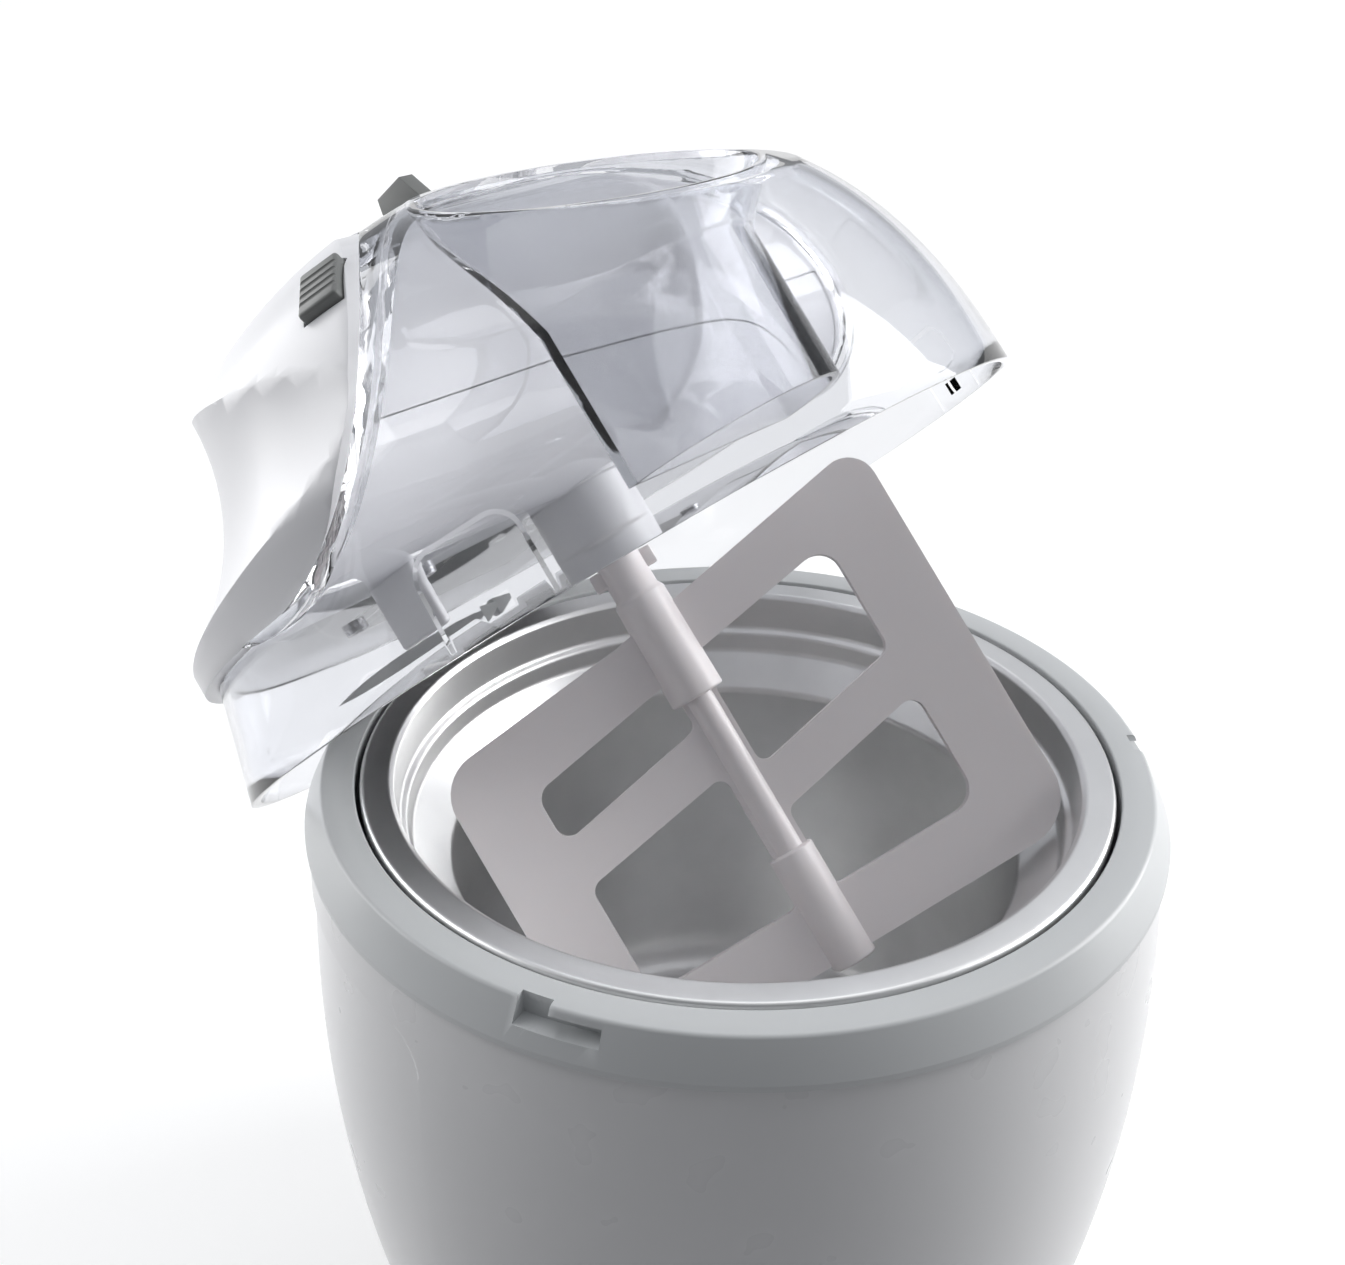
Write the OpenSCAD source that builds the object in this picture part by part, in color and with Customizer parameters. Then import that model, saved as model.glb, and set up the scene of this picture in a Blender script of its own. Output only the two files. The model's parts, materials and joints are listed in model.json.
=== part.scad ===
// Compressor-free ice cream maker: white base, freezer bowl, clear domed lid with
// a motor unit, and a plastic paddle. The lid stands lifted and tilted over the bowl.
// Row frame: +Z up, front of the base towards -Y, origin on the table under the
// centre of the base. Head frame: origin at the centre of the lid's rim, +Z along
// the paddle's axis, feed chute towards -Y.

/* [Base] */
// Height from the table to the flat top of the collar
base_h = 185; // [175:1:195]
// Largest radius of the bulging white housing
belly_r = 113.4; // [112.8:0.1:114]
// Height of the largest radius above the table
belly_z = 125; // [115:1:130]
// Radius of the arc that shapes the housing's side
side_arc_r = 413; // [380:1:450]
// Wall thickness of the moulded housing
wall = 3; // [2.5:0.1:3.5]
// Radius of each rubber foot
foot_r = 9; // [7:0.5:11]
// Radius of the circle that the feet and base screws stand on
foot_circle_r = 78; // [74:1:80]

/* [Collar] */
// Radius of the collar's flat top, outer edge
collar_top_r = 107.5; // [107:0.1:108]
// Radius of the collar's lower edge, where the lid's rim seats
collar_low_r = 112.3; // [112:0.1:112.6]
// Radius of the collar's inner edge
collar_in_r = 99; // [98.8:0.1:99.5]
// Number of bayonet slots round the collar
slot_count = 3; // [3:1:3]

/* [Bowl] */
// Outer radius of the bowl's rolled rim
rim_r = 97.8; // [97:0.1:98]
// Inner radius of the bowl's mouth
mouth_r = 89; // [88:0.1:90]
// Inner radius of the freezing chamber
chamber_r = 75; // [74:0.5:76]
// Depth of the chamber floor below the rim
bowl_depth = 127; // [125:1:130]
// Radius of the double-walled bowl's outer shell
bowl_out_r = 95.5; // [94:0.5:96]

/* [Lid] */
// Outer radius of the lid at its rim
lid_r = 112.3; // [112:0.1:112.6]
// Height of the dome above its rim
lid_h = 110.6; // [110:0.2:112]
// Exponent of the dome's side curve: 2 is an ellipse, more is squarer
lid_power = 2.34; // [2.3:0.02:2.4]
// Wall thickness of the clear plastic
lid_wall = 2.2; // [2:0.1:2.4]

/* [Motor unit] */
// Radius of the rounded drum at the unit's front
drum_r = 39; // [38.5:0.1:39.2]
// Distance of the drum's centre line in front of the paddle's axis
drum_fwd = 6; // [5.5:0.1:6.5]
// Height of the drum's centre line above the lid's rim
drum_z = 68; // [67.5:0.1:68.5]
// Radius of the unit's rounded back
unit_r = 108.5; // [108:0.1:109]
// Height of the seam between the two covers
seam_z = 53; // [50:1:55]
// Wall thickness of the covers
cover_wall = 2.2; // [2:0.1:2.4]

/* [Chute] */
// Inner radius of the feed chute's tube
tube_r = 31; // [30:0.5:31]
// Distance of the tube's centre in front of the paddle's axis
tube_fwd = 50; // [49:0.5:51]
// Level of the tube's lower edge above the lid's rim
tube_low = 17; // [16:1:20]
// Forward slope of the chute's mouth
mouth_tilt = 29; // [27:1:31]
// Half of the mouth's width, inside
mouth_half_w = 49.5; // [48:0.5:50]
// Half of the mouth's length along its slope, inside
mouth_half_l = 40.5; // [39:0.5:41]

/* [Paddle] */
// Half of the paddle's width
paddle_w = 70; // [69:0.5:70.5]
// Level of the paddle's bottom edge below the lid's rim
paddle_low = 111; // [110:0.5:112]
// Thickness of the paddle's blade
blade_t = 4; // [3:0.5:5]
// Width of the paddle's side arms
arm_w = 20.5; // [18:0.5:22]
// Compass direction of the paddle's right arm, from the head's +X
paddle_turn = -43.5; // [-50:0.5:-40]

/* [Gears] */
// Module of the spur gears
gear_m = 0.8; // [0.8:0.1:0.8]
// Teeth of the motor pinion and of each small gear
small_n = 12; // [12:1:12]
// Teeth of the two large idler gears
large_n = 40; // [40:1:40]
// Teeth of the output gear
output_n = 48; // [48:1:48]

/* [Resting pose of the head] */
// Tilt of the lid's axis from the vertical
lean = 43.2; // [43:0.1:43.4]
// Compass direction in which the lid's axis leans, from +X
lean_dir = 104.9; // [104.5:0.1:105.3]
// Turn of the lid about its own axis
lid_turn = -84.5; // [-85:0.5:-84]
// Place of the rim's centre along X, from the collar's centre
head_x = -10.1; // [-10.5:0.1:-9.7]
// Place of the rim's centre along Y, from the collar's centre
head_y = 33.6; // [33.2:0.1:34]
// Height of the rim's centre above the collar's top
head_rise = 37.8; // [37.4:0.1:38.2]

/* [Hidden] */
$fn = 96;
e = 0.01;

/* ---- placing ---- */

// Puts the head frame in its lifted and tilted resting place
module on_head() {
    translate([head_x, head_y, base_h + head_rise])
        rotate([0, 0, lean_dir])
            rotate([0, lean, 0])
                rotate([0, 0, lid_turn])
                    children();
}

// Repeats its children round the vertical axis
module round_z(n, start = 0) {
    for (i = [0:n - 1])
        rotate([0, 0, start + 360 * i / n])
            children();
}

module ring(r_out, r_in, h) {
    difference() {
        cylinder(r = r_out, h = h);
        translate([0, 0, -1])
            cylinder(r = r_in, h = h + 2);
    }
}

// Pan-head screw with a cross recess, head up, shank down from z = 0
module screw(head_r, shank_r, length) {
    difference() {
        union() {
            cylinder(r = head_r, h = 1.8);
            translate([0, 0, -length])
                cylinder(r = shank_r, h = length + e);
        }
        for (a = [0, 90])
            rotate([0, 0, a])
                translate([-head_r * 0.6, -0.4, 0.9])
                    cube([head_r * 1.2, 0.8, 1]);
    }
}

/* ---- base ---- */

function side_r(z) = belly_r - side_arc_r + sqrt(pow(side_arc_r, 2) - pow(z - belly_z, 2));

cover_t = 3;
skirt_z = 5;
housing_top = base_h - 12;
tub_floor = base_h - 151;
tub_r = collar_in_r + 2.4;
tub_lip_r = 104.8;
tub_low_r = 98.4;
tub_taper = 14;
tub_wall = 2.4;
side_steps = 14;

function side_points(inset, z0, z1) =
    [for (i = [0:side_steps]) let (z = z0 + (z1 - z0) * i / side_steps) [side_r(z) - inset, z]];

module side_solid(inset, z0, z1) {
    rotate_extrude()
        polygon(concat([[0, z0]], side_points(inset, z0, z1), [[0, z1]]));
}

// Shallow panel pressed into each flank: its top edge is level, its ends upright
panel_top = base_h - 25.4;
panel_from = 13.5;
panel_span = 57;
panel_depth = 1.2;

module side_panel_cut() {
    intersection() {
        difference() {
            side_solid(-4, 11, panel_top + 1);
            side_solid(panel_depth, 10, panel_top + 2);
        }
        rotate([0, 0, -panel_from])
            translate([0, 0, 12])
                rotate_extrude(angle = panel_span)
                    square([150, panel_top - 12]);
    }
}

ledge_r = 88;
opening_r = 91.6;
ledge_z = 11;
ledge_t = 2;

// Bulging outer wall, with a ledge inside its foot that the base cover meets
module housing() {
    color([0.93, 0.93, 0.93])
    difference() {
        side_solid(0, skirt_z, housing_top);
        side_solid(wall, ledge_z + ledge_t, housing_top + 1);
        translate([0, 0, skirt_z - 1])
            cylinder(r = opening_r, h = ledge_z - skirt_z + 1);
        translate([0, 0, skirt_z])
            cylinder(r = ledge_r, h = 20);
        for (s = [0, 1])
            mirror([s, 0, 0])
                side_panel_cut();
    }
}

slot_w = 8;
slot_run = 20.5;
slot_low = 6;
slot_high = 2;
slot_depth = 3.2;

// Entry notch and level channel of one bayonet slot, on the -Y side
module bayonet_slot() {
    mid_r = collar_top_r + 1;
    deg_per_mm = 180 / (PI * mid_r);
    rotate([0, 0, -90 - slot_w * deg_per_mm / 2])
        translate([0, 0, -slot_low])
            rotate_extrude(angle = slot_w * deg_per_mm)
                translate([mid_r - slot_depth, 0])
                    square([12, slot_low + 1]);
    rotate([0, 0, -90 - slot_w * deg_per_mm / 2])
        translate([0, 0, -slot_low])
            rotate_extrude(angle = slot_run * deg_per_mm)
                translate([mid_r - slot_depth, 0])
                    square([12, slot_low - slot_high]);
}

module collar_ring() {
    color([0.82, 0.83, 0.83])
    translate([0, 0, base_h])
    difference() {
        rotate_extrude()
            polygon([[collar_in_r, 0], [collar_top_r, 0], [collar_top_r + 1.2, -1.2],
                     [collar_low_r, -9.9], [collar_low_r, -11.7],
                     [side_r(housing_top) - wall - 0.3, -11.7],
                     [side_r(housing_top) - wall - 0.3, -20],
                     [side_r(housing_top) - wall - 2.3, -20],
                     [side_r(housing_top) - wall - 2.3, -7], [collar_in_r, -7]]);
        round_z(slot_count, -60)
            bayonet_slot();
        translate([0, 0, -30])
            cylinder(r = collar_in_r, h = 31);
    }
}

post_r = 4.5;
post_top = tub_floor - 2.4;

// Open cup that carries the freezer bowl, with four screw posts under its floor
module inner_tub() {
    color([0.88, 0.88, 0.87])
    difference() {
        union() {
            rotate_extrude()
                polygon([[0, tub_floor - 2.6], [tub_low_r, tub_floor - 2.6],
                         [tub_r, tub_floor + tub_taper], [tub_r, base_h - 9.5],
                         [tub_lip_r, base_h - 9.5], [tub_lip_r, base_h - 7.05],
                         [tub_r - tub_wall, base_h - 7.05],
                         [tub_r - tub_wall, tub_floor + tub_taper],
                         [tub_low_r - tub_wall, tub_floor], [0, tub_floor]]);
            round_z(4, 45)
                translate([foot_circle_r, 0, skirt_z + wall + cover_t + 0.3])
                    cylinder(r = post_r, h = post_top - skirt_z - wall - cover_t);
        }
        round_z(4, 45)
            translate([foot_circle_r, 0, 5])
                cylinder(r = 1.5, h = tub_floor - 12);
    }
}

cover_z = skirt_z + wall;

module base_cover() {
    color([0.85, 0.85, 0.85])
    difference() {
        translate([0, 0, cover_z])
            cylinder(r = opening_r - 0.3, h = cover_t);
        round_z(4, 45)
            translate([foot_circle_r, 0, cover_z - 1])
                cylinder(r = 2, h = cover_t + 2);
        round_z(4, 0)
            translate([foot_circle_r, 0, cover_z - e])
                cylinder(r = foot_r - 2, h = 1.5);
        round_z(12, 15)
            translate([30, -1.5, cover_z - 1])
                cube([22, 3, cover_t + 2]);
    }
}

module rubber_feet() {
    color([0.2, 0.2, 0.2])
    round_z(4, 0)
        translate([foot_circle_r, 0, 0]) {
            cylinder(r = foot_r, h = cover_z - 0.05);
            translate([0, 0, cover_z - 0.1])
                cylinder(r = foot_r - 2.2, h = 1.4);
        }
}

module base_screws() {
    color([0.6, 0.6, 0.62])
    round_z(4, 45)
        translate([foot_circle_r, 0, cover_z - 0.02])
            rotate([180, 0, 0])
                screw(3.4, 1.48, 18);
}

/* ---- freezer bowl ---- */

// Meridian of the liner's inner face from the mouth down to the floor
ledge_1 = 11;
ledge_2 = 17.5;
ledge_3 = 24;
liner_t = 1.4;
floor_r = 12;

function liner_points(t) = concat(
    [[mouth_r + t, -2.2], [mouth_r - 0.6 + t, -ledge_1 - t], [mouth_r - 2.6 + t, -ledge_1 - 0.8 - t],
     [mouth_r - 3 + t, -ledge_2 - t], [chamber_r + t, -ledge_3 - t * 1.4]],
    [for (a = [0:15:90]) [chamber_r - floor_r + (floor_r + t) * cos(a) - 0.5,
                          -bowl_depth + floor_r - (floor_r + t) * sin(a)]]);

module bowl_liner() {
    outer = liner_points(liner_t);
    inner = liner_points(0);
    color([0.8, 0.8, 0.8])
    translate([0, 0, base_h])
        rotate_extrude()
            polygon(concat(
                [[0, -bowl_depth]],
                [for (i = [len(inner) - 1:-1:0]) inner[i]],
                [[mouth_r + 0.6, -0.7], [mouth_r + 2, 0], [rim_r - 2.2, 0], [rim_r - 0.6, -0.7],
                 [rim_r, -2.4], [rim_r - 0.5, -3.8], [rim_r - 1.3, -3.8], [rim_r - 1.3, -1.6],
                 [mouth_r + liner_t, -1.6]],
                [for (i = [1:len(outer) - 1]) outer[i]],
                [[0, -bowl_depth - liner_t]]));
}

bowl_bottom = tub_floor + 0.05 - base_h;

module bowl_shell() {
    color([0.75, 0.75, 0.76])
    translate([0, 0, base_h])
        rotate_extrude()
            polygon([[0, bowl_bottom], [bowl_out_r - 9, bowl_bottom], [bowl_out_r - 3, bowl_bottom + 3],
                     [bowl_out_r, bowl_bottom + 9], [bowl_out_r, -4.4], [bowl_out_r - 1.6, -4.4],
                     [bowl_out_r - 1.6, bowl_bottom + 9.6], [bowl_out_r - 4, bowl_bottom + 4.4],
                     [bowl_out_r - 9.6, bowl_bottom + 1.6], [0, bowl_bottom + 1.6]]);
}

module bowl_seal() {
    color([0.3, 0.3, 0.32])
    translate([0, 0, base_h - 4.35])
        ring(bowl_out_r, bowl_out_r - 3.5, 2.7);
}

module coolant_gel() {
    outer = liner_points(liner_t + 0.1);
    color([0.55, 0.75, 0.85])
    translate([0, 0, base_h])
        rotate_extrude()
            polygon(concat(
                [[bowl_out_r - 1.7, -8], [bowl_out_r - 1.7, bowl_bottom + 9.7],
                 [bowl_out_r - 4.1, bowl_bottom + 4.5], [bowl_out_r - 9.7, bowl_bottom + 1.7],
                 [0, bowl_bottom + 1.7], [0, -bowl_depth - liner_t - 0.1]],
                [for (i = [len(outer) - 1:-1:1]) outer[i]],
                [[mouth_r + liner_t + 0.1, -8]]));
}

/* ---- lid: all in the head frame ---- */

dome_steps = 16;
drum_gap = 3.2;
unit_low = drum_z - drum_r;
funnel_z = 76;
mouth_fwd = 57.5;
mouth_z = 88;

function dome_point(t, inset) = [(lid_r - inset) * pow(cos(t), 2 / lid_power),
                                 (lid_h - inset) * pow(sin(t), 2 / lid_power)];

// Solid dome, pulled in all round by the inset
module dome(inset) {
    rotate_extrude()
        polygon(concat([[0, 0]],
                       [for (i = [0:dome_steps]) dome_point(90 * i / dome_steps, inset)]));
}

// Cylinder along X on the drum's centre line
module across(r) {
    translate([-150, -drum_fwd, drum_z])
        rotate([0, 90, 0])
            cylinder(r = r, h = 300, $fn = 128);
}

// Everything behind the drum's rounded front and above its lowest level
module unit_zone(grow) {
    across(drum_r + grow);
    translate([-150, -drum_fwd - grow, unit_low - grow])
        cube([300, 200, 120]);
}

// Places its children on the sloping mouth, +Z out of it
module on_mouth() {
    translate([0, -mouth_fwd, mouth_z])
        rotate([mouth_tilt, 0, 0])
            children();
}

// Chute, grown by a wall: a tube with a back that follows the drum, and a funnel on it
module chute_form(grow, low) {
    difference() {
        union() {
            translate([0, -tube_fwd, low])
                cylinder(r = tube_r + grow, h = funnel_z - low + 1);
            hull() {
                translate([0, -tube_fwd, funnel_z])
                    cylinder(r = tube_r + grow, h = 1, $fn = 48);
                on_mouth()
                    linear_extrude(height = 3)
                        scale([mouth_half_w + grow, mouth_half_l + grow])
                            circle(r = 1, $fn = 48);
            }
        }
        across(drum_r + drum_gap - grow);
        translate([-100, -drum_fwd - drum_r - drum_gap + grow, -50])
            cube([200, 150, 50 + drum_z]);
    }
}

flange_t = 4.5;
pip_z = 3;

// Clear dome with the feed chute, cut open at the back for the motor unit
module lid_shell() {
    color([0.86, 0.88, 0.93, 0.4])
    on_head() {
        difference() {
            union() {
                difference() {
                    dome(0);
                    translate([0, 0, -e])
                        dome(lid_wall);
                }
                intersection() {
                    difference() {
                        dome(0);
                        dome(flange_t);
                    }
                    across(drum_r + 3);
                }
                intersection() {
                    dome(0.4);
                    chute_form(lid_wall, tube_low);
                }
            }
            chute_form(0, tube_low - 1);
            unit_zone(0.35);
            on_mouth()
                translate([-80, -60, 0])
                    cube([160, 120, 60]);
        }
        round_z(slot_count, 60)
            translate([-3.5, -lid_r + lid_wall - 0.6, pip_z])
                cube([7, 2.6, 3.6]);
    }
}

/* ---- motor unit ---- */

scoop_fwd = 18;
scoop_z = 90;
scoop_major = 153;
scoop_minor = 65;
unit_proud = 2;

// Outer form of the motor unit: dome, drum and level floor, its flanks scooped hollow
module unit_form(inset) {
    difference() {
        intersection() {
            dome(inset - unit_proud);
            unit_zone(-inset);
            cylinder(r = unit_r - inset, h = 200);
        }
        translate([0, -scoop_fwd, scoop_z])
            rotate_extrude()
                translate([scoop_major, 0])
                    circle(r = scoop_minor + inset);
    }
}

// Reach of the lower cover: the drum's lower front quarter and the floor
module base_zone(gap) {
    intersection() {
        dome(7 - gap);
        union() {
            translate([-150, -drum_fwd - drum_r - 1, 0])
                cube([300, drum_r + 1 + gap, seam_z + gap]);
            translate([-150, -drum_fwd - e, 0])
                cube([300, 200, unit_low + cover_wall + gap]);
        }
    }
}

function cover_posts() = [[-50, 12], [50, 12], [-46, 50], [46, 50]];

knob_y = 0;
stem_r = 3.1;
button_len = 11;
button_high = 17;
button_gap = 0.3;
button_back = 9;
button_proud = 2.5;
grommet_z = 42;
grommet_r = 4.95;
cover_top = unit_low + cover_wall;

// Frame of a release button, 0 right and 1 left: +X points out through the flank
module button_place(side) {
    mirror([side, 0, 0])
        translate([73, -34, 87.5])
            rotate([0, 0, -25])
                rotate([0, -49, 0])
                    children();
}

// Block round a button's place, with its outer face at x = 0
module button_block(depth, grow) {
    translate([-depth, -button_len / 2 - grow, -button_high / 2 - grow])
        cube([depth, button_len + 2 * grow, button_high + 2 * grow]);
}

module motor_top_cover() {
    color([0.94, 0.94, 0.95])
    on_head()
        difference() {
            union() {
                difference() {
                    unit_form(0);
                    unit_form(cover_wall);
                }
                intersection() {
                    unit_form(0.6);
                    union() {
                        for (p = cover_posts())
                            translate([p[0], p[1], cover_top + 0.2])
                                cylinder(r = 4, h = 90);
                        for (side = [0, 1])
                            button_place(side)
                                button_block(16, 1.8);
                    }
                }
            }
            base_zone(0.15);
            for (p = cover_posts())
                translate([p[0], p[1], cover_top - 1])
                    cylinder(r = 1.3, h = 14);
            translate([0, knob_y, 90])
                cylinder(r = stem_r + 0.3, h = 40);
            for (side = [0, 1])
                button_place(side) {
                    button_block(14, button_gap);
                    translate([0, -button_len / 2 - button_gap, -button_high / 2 - button_gap])
                        cube([12, button_len + 2 * button_gap, button_high + 2 * button_gap]);
                }
            translate([0, 110, grommet_z])
                rotate([90, 0, 0])
                    cylinder(r = grommet_r + 0.1, h = 40);
        }
}

boss_low = 14;
boss_r = 14;
bush_r = 7;
tab_x = 68;
gearbox_z = 33;

function gearbox_posts() = [[-32, -10], [22, -10], [-32, 60], [22, 60]];

// Lower cover: floor, front of the drum, hub of the drive and two hanging tabs
module motor_base_cover() {
    color([0.9, 0.9, 0.91])
    on_head()
        difference() {
            union() {
                intersection() {
                    difference() {
                        unit_form(0);
                        unit_form(cover_wall);
                    }
                    base_zone(0);
                }
                translate([0, 0, boss_low])
                    cylinder(r = boss_r, h = cover_top - boss_low);
                for (p = gearbox_posts())
                    translate([p[0], p[1], cover_top - 1])
                        cylinder(r = 4, h = gearbox_z - cover_top + 1);
                for (s = [-1, 1])
                    translate([s * tab_x - 1.5, -8, 12])
                        cube([3, 18, cover_top - 13]);
            }
            translate([0, 0, boss_low - 1])
                cylinder(r = bush_r + 0.05, h = 30);
            for (p = cover_posts())
                translate([p[0], p[1], unit_low - 1])
                    cylinder(r = 1.7, h = 6);
        }
}

module cover_screws() {
    color([0.6, 0.6, 0.62])
    on_head()
        for (p = cover_posts())
            translate([p[0], p[1], unit_low - 0.05])
                rotate([180, 0, 0])
                    screw(3, 1.28, 12);
}

/* ---- gearbox ---- */

gear_gap = gear_m * (small_n + large_n) / 2;
second_gap = gear_m * (output_n + small_n) / 2;
second_dir = 125.7;
first_dir = 23.6;
rotor_dir = 103.9;
function step(from, dir, gap) = [from[0] + gap * cos(dir), from[1] + gap * sin(dir)];
second_at = step([0, 0], second_dir, second_gap);
first_at = step(second_at, first_dir, gear_gap);
rotor_at = step(first_at, rotor_dir, gear_gap);

// Start angle of a small gear that meshes with an n1-tooth gear whose tooth 0 is at 0
function mesh_phase(dir, n1) = dir + 180 + (180 + dir * n1) / small_n;

// Half tooth at each level, as [radial step, half width], in modules
tooth = [[-1.1, -1.04], [0, -0.63], [0.85, -0.31], [0.85, 0.31], [0, 0.63], [-1.1, 1.04]];

module gear(n, h, bore) {
    pitch_r = gear_m * n / 2;
    linear_extrude(height = h)
        difference() {
            polygon([for (i = [0:n - 1], t = tooth)
                     let (r = pitch_r + t[0] * gear_m,
                          a = 360 * i / n + t[1] * gear_m * 180 / (PI * pitch_r))
                     [r * cos(a), r * sin(a)]]);
            circle(r = bore);
        }
}

pin_r = 1.5;
plate_z = 55.5;
spindle_r = 4;

// Outline shared by the gearbox floor and its top plate
module gearbox_outline(h) {
    translate([-36, -14, 0])
        cube([62, 78, h]);
}

module gearbox_floor() {
    color([0.3, 0.3, 0.32])
    on_head()
        difference() {
            union() {
                translate([0, 0, gearbox_z])
                    gearbox_outline(1.6);
                for (p = gearbox_posts())
                    translate([p[0], p[1], gearbox_z + 1])
                        cylinder(r = 3.5, h = plate_z - gearbox_z - 1);
            }
            translate([0, 0, gearbox_z - 1])
                cylinder(r = spindle_r + 1, h = 5);
            for (p = [second_at, first_at])
                translate([p[0], p[1], gearbox_z - 1])
                    cylinder(r = pin_r + 0.02, h = 5);
            for (p = gearbox_posts())
                translate([p[0], p[1], plate_z - 10])
                    cylinder(r = 1.3, h = 11);
        }
}

module gearbox_plate() {
    color([0.3, 0.3, 0.32])
    on_head()
        difference() {
            translate([0, 0, plate_z])
                gearbox_outline(1.5);
            translate([0, 0, plate_z - 1])
                cylinder(r = spindle_r + 0.06, h = 5);
            translate([rotor_at[0], rotor_at[1], plate_z - 1])
                cylinder(r = 3.3, h = 5);
            for (p = [second_at, first_at])
                translate([p[0], p[1], plate_z - 1])
                    cylinder(r = pin_r + 0.02, h = 5);
            for (p = gearbox_posts())
                translate([p[0], p[1], plate_z - 1])
                    cylinder(r = 1.6, h = 5);
        }
}

module gearbox_screws() {
    color([0.6, 0.6, 0.62])
    on_head()
        for (p = gearbox_posts())
            translate([p[0], p[1], plate_z + 1.52])
                screw(2.8, 1.28, 9);
}

module gear_pins() {
    color([0.75, 0.75, 0.77])
    on_head()
        for (p = [second_at, first_at])
            translate([p[0], p[1], gearbox_z + 0.1])
                cylinder(r = pin_r, h = plate_z - gearbox_z + 1.3);
}

module output_bush() {
    color([0.75, 0.6, 0.3])
    on_head()
        translate([0, 0, 17])
            ring(bush_r, spindle_r + 0.05, 14);
}

module spindle_seal() {
    color([0.15, 0.15, 0.15])
    on_head()
        translate([0, 0, boss_low + 0.2])
            ring(bush_r, spindle_r + 0.05, 2.6);
}

module second_gear() {
    color([0.95, 0.94, 0.9])
    on_head()
        translate([second_at[0], second_at[1], 0]) {
            translate([0, 0, 36.5])
                rotate([0, 0, mesh_phase(second_dir, output_n)])
                    gear(small_n, 7.5 + e, pin_r + 0.05);
            translate([0, 0, 44])
                gear(large_n, 4, pin_r + 0.05);
        }
}

module first_gear() {
    color([0.95, 0.94, 0.9])
    on_head()
        translate([first_at[0], first_at[1], 0]) {
            translate([0, 0, 43.6])
                rotate([0, 0, mesh_phase(first_dir, large_n)])
                    gear(small_n, 5.6 + e, pin_r + 0.05);
            translate([0, 0, 49.2])
                gear(large_n, 3.8, pin_r + 0.05);
        }
}

module output_gear() {
    color([0.95, 0.94, 0.9])
    on_head()
        translate([0, 0, 37])
            difference() {
                gear(output_n, 6, spindle_r + 0.02);
                translate([0, 0, 4])
                    ring(15.5, 7, 3);
                translate([0, 0, -1])
                    ring(15.5, 7, 3);
            }
}

socket_w = 6.6;
spindle_sq = 6.4;

// Output shaft with a square lower end
module drive_spindle() {
    color([0.8, 0.8, 0.82])
    on_head() {
        translate([0, 0, boss_low + 0.1])
            cylinder(r = spindle_r, h = 42.1);
        translate([-spindle_sq / 2, -spindle_sq / 2, -2])
            cube([spindle_sq, spindle_sq, 16.15]);
    }
}

/* ---- motor ---- */

can_r = 14;
can_z = 57.05;
can_h = 28.65;
shaft_r = 1.5;

module on_rotor() {
    on_head()
        translate([rotor_at[0], rotor_at[1], 0])
            children();
}

module motor_pinion() {
    color([0.8, 0.65, 0.3])
    on_rotor()
        translate([0, 0, 48.8])
            rotate([0, 0, mesh_phase(rotor_dir, large_n)])
                gear(small_n, 5.8, shaft_r + 0.02);
}

// Armature: shaft, slotted core and commutator
module motor_rotor() {
    color([0.65, 0.45, 0.3])
    on_rotor() {
        translate([0, 0, 48.5])
            cylinder(r = shaft_r, h = 41.5);
        difference() {
            translate([0, 0, 62])
                cylinder(r = 9.6, h = 17);
            for (i = [0:4])
                rotate([0, 0, 72 * i])
                    translate([4, -1, 61])
                        cube([8, 2, 19]);
        }
        translate([0, 0, 79 - e])
            cylinder(r = 3.4, h = 3.5);
    }
}

module motor_can() {
    color([0.7, 0.7, 0.72])
    on_rotor()
        difference() {
            translate([0, 0, can_z])
                cylinder(r = can_r, h = can_h);
            translate([0, 0, can_z + 1.5])
                cylinder(r = can_r - 1.2, h = can_h);
            translate([0, 0, can_z - 1])
                cylinder(r = 3.3, h = 5);
        }
}

module motor_magnets() {
    color([0.25, 0.25, 0.27])
    on_rotor()
        difference() {
            translate([0, 0, 61])
                ring(can_r - 1.25, 10.4, 20);
            for (s = [-1, 1])
                translate([s * 12 - 4, -2.5, 60])
                    cube([8, 5, 22]);
        }
}

module motor_end_cap() {
    color([0.2, 0.2, 0.22])
    on_rotor()
        difference() {
            translate([0, 0, can_z + can_h + 0.02])
                cylinder(r = can_r, h = 3);
            translate([0, 0, can_z + can_h - 1])
                cylinder(r = 3.3, h = 6);
        }
}

module motor_bushes() {
    color([0.75, 0.6, 0.3])
    on_rotor()
        for (z = [can_z - 1.4, can_z + can_h + 0.1])
            translate([0, 0, z])
                ring(3.25, shaft_r + 0.04, 2.9);
}

/* ---- switch, rectifier and cord inlet ---- */

module switch_body() {
    color([0.2, 0.2, 0.22])
    on_head()
        translate([-11, -3.2, 96])
            cube([22, 18, 12.5]);
}

module rectifier_board() {
    color([0.2, 0.45, 0.25])
    on_head()
        translate([-34, 12, plate_z + 1.55]) {
            cube([1.6, 28, 22]);
            translate([1.5, 6, 8])
                rotate([0, 90, 0])
                    cylinder(r = 4, h = 9);
            for (y = [14, 20])
                translate([1.5, y, 5])
                    cube([3, 3, 10]);
        }
}

module cord_grommet() {
    color([0.85, 0.85, 0.86])
    on_head()
        translate([0, 97, grommet_z])
            rotate([90, 0, 0])
                difference() {
                    cylinder(r = grommet_r, h = 15);
                    translate([0, 0, -1])
                        cylinder(r = 2.8, h = 17);
                }
}

/* ---- hand controls ---- */

knob_z = 113;

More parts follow.
